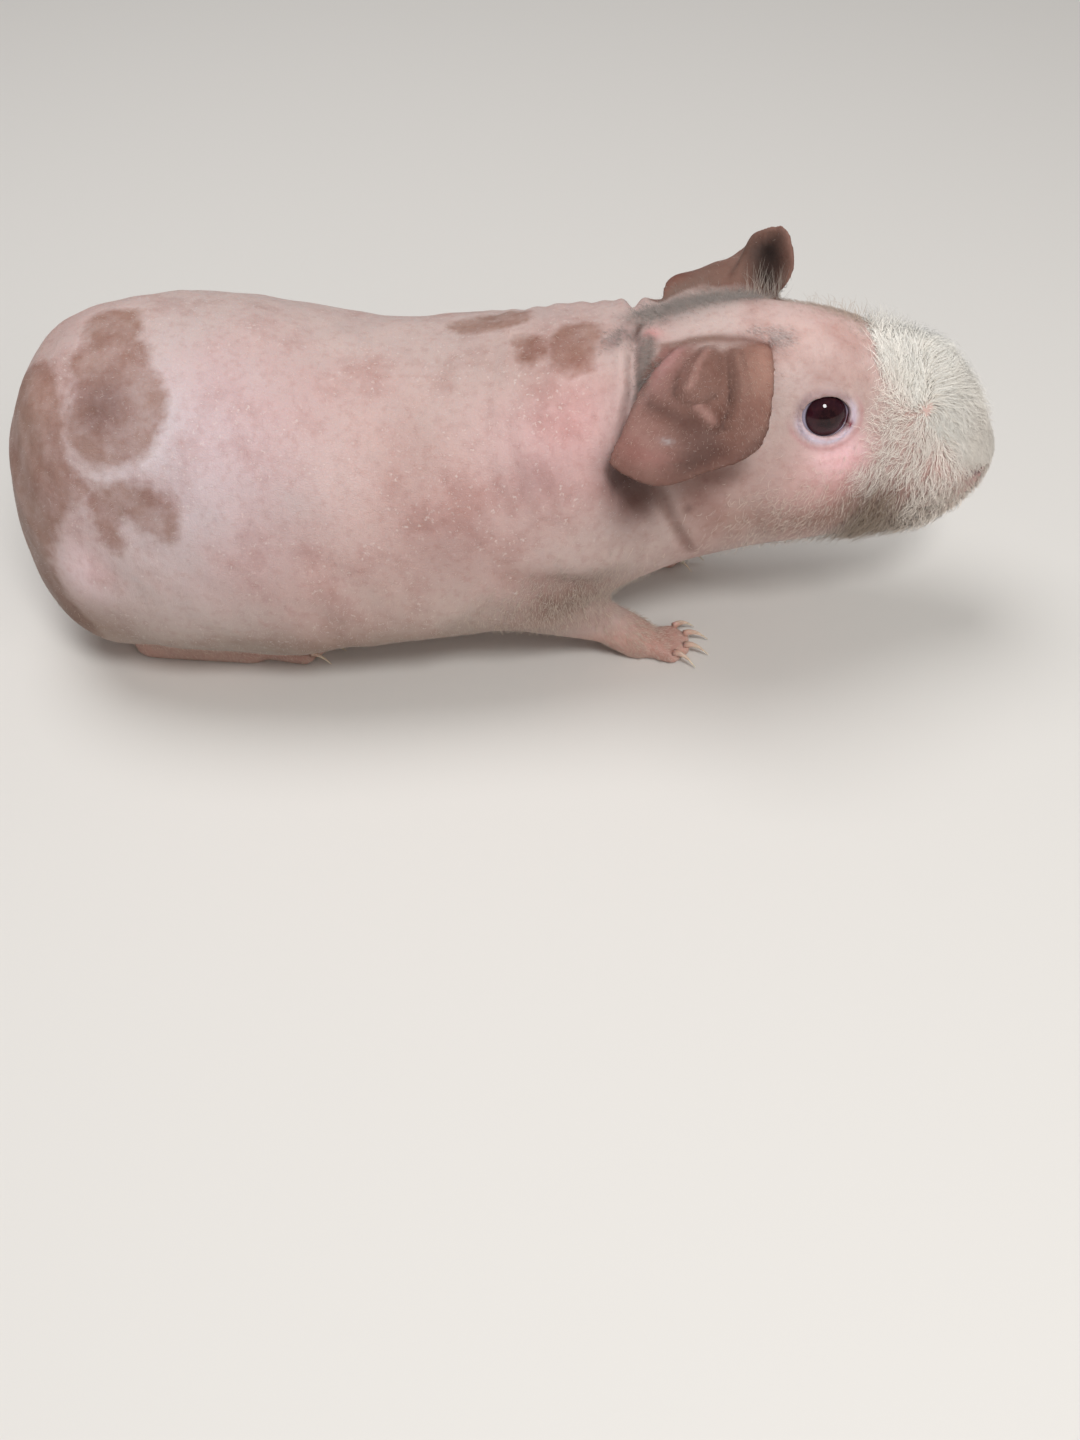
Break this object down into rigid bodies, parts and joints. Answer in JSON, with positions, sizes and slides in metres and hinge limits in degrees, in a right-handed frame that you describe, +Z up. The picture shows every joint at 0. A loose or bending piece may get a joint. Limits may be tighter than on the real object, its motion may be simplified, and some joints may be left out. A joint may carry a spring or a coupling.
{
  "type": "skinny pig",
  "caption": "Life-size still model of a standing skinny pig, a nearly hairless guinea pig with a furry nose, a drooping right ear and a raised left ear.",
  "frame": {"origin": "on the floor, under the middle of the animal", "axes": "+X towards the nose, +Y to the animal's left, +Z up"},
  "size_m": [0.233, 0.088, 0.0932],
  "materials": {
    "skin": "bare pink skin with grey-brown patches, satin",
    "ear_skin": "thin brown skin, satin",
    "foot_skin": "pink skin under short cream hair, matt",
    "nose_fur": "dense cream-white fur",
    "eye": "wet, nearly black red-brown eye",
    "claw": "pale horn"
  },
  "bodies": {
    "root": {"rump": "skin", "abdomen": "skin", "chest": "skin", "neck": "skin", "head": "skin", "lower_jaw": "skin", "muzzle": "nose_fur", "ear_left": "ear_skin", "eye_left": "eye", "foreleg_left": "skin", "hindleg_left": "skin", "forefoot_left": "foot_skin", "hindfoot_left": "foot_skin", "foreclaw_left_1": "claw", "foreclaw_left_2": "claw", "foreclaw_left_3": "claw", "foreclaw_left_4": "claw", "hindclaw_left_1": "claw", "hindclaw_left_2": "claw", "hindclaw_left_3": "claw", "ear_right": "ear_skin", "eye_right": "eye", "foreleg_right": "skin", "hindleg_right": "skin", "forefoot_right": "foot_skin", "hindfoot_right": "foot_skin", "foreclaw_right_1": "claw", "foreclaw_right_2": "claw", "foreclaw_right_3": "claw", "foreclaw_right_4": "claw", "hindclaw_right_1": "claw", "hindclaw_right_2": "claw", "hindclaw_right_3": "claw"}
  },
  "joints": []
}
